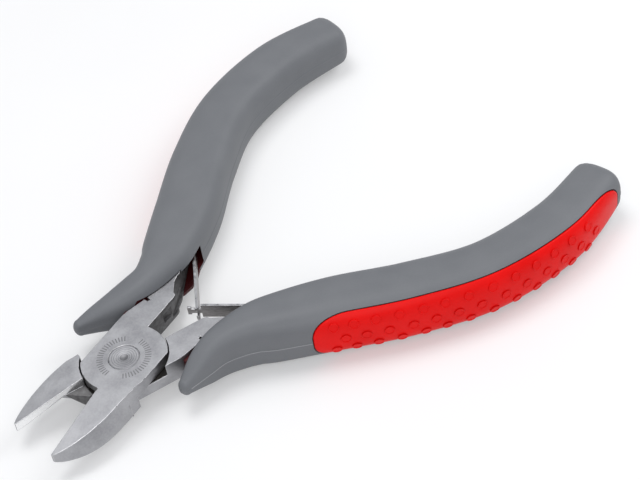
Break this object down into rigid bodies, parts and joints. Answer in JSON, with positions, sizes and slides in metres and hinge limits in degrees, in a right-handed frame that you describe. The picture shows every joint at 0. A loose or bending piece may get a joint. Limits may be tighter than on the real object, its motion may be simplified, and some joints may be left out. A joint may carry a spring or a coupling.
{
  "type": "flush cutter",
  "caption": "Small spring-opened flush cutter: two lapped steel halves with slanting cutting jaws and curved two-part soft grips with studded pads.",
  "frame": {"origin": "on the pivot's axis, at the rear face of the joint", "axes": "+X from the joint towards the handle ends, with the jaws towards -X; +Z along the pivot's axis, out of the joint's front face; +Y towards the left arm"},
  "size_m": [0.1087, 0.0852, 0.0111],
  "materials": {
    "jaw_steel": "satin blasted steel, ground and polished along the cutting edges",
    "spring_steel": "bright rolled spring strip",
    "grip_grey": "soft moulded grey plastic with a faint sheen",
    "grip_core_red": "dark red moulded plastic",
    "grip_pad_red": "bright red soft plastic with raised round studs"
  },
  "bodies": {
    "rear_arm": {"rear_half": "jaw_steel", "pivot_rivet": "jaw_steel", "right_spring_foot": "spring_steel", "right_spring_rivet": "spring_steel", "right_grip_core": "grip_core_red", "right_grip_cover": "grip_grey", "right_grip_pad": "grip_pad_red"},
    "front_arm": {"front_half": "jaw_steel", "left_spring_foot": "spring_steel", "left_spring_rivet": "spring_steel", "left_grip_core": "grip_core_red", "left_grip_cover": "grip_grey", "left_grip_pad": "grip_pad_red"},
    "left_spring": {"left_leaf_spring": "spring_steel"},
    "right_spring": {"right_leaf_spring": "spring_steel"}
  },
  "joints": [
    {"name": "pivot", "type": "hinge", "parent": "rear_arm", "child": "front_arm", "pos_m": [0, 0, 0.00235], "axis": [0, 0, -1], "range_deg": [-5, 26], "stiffness_Nm_per_rad": 0.6},
    {"name": "left_spring_bend", "type": "hinge", "parent": "front_arm", "child": "left_spring", "pos_m": [0.027, 0.0126, 0.00235], "axis": [0, 0, -1], "range_deg": [-4, 16]},
    {"name": "right_spring_bend", "type": "hinge", "parent": "rear_arm", "child": "right_spring", "pos_m": [0.027, -0.0126, 0.00235], "axis": [0, 0, 1], "range_deg": [-4, 16]}
  ],
  "couplings": [
    {"joint": "left_spring_bend", "follows": "pivot", "ratio": 0.598},
    {"joint": "right_spring_bend", "follows": "pivot", "ratio": 0.598}
  ]
}
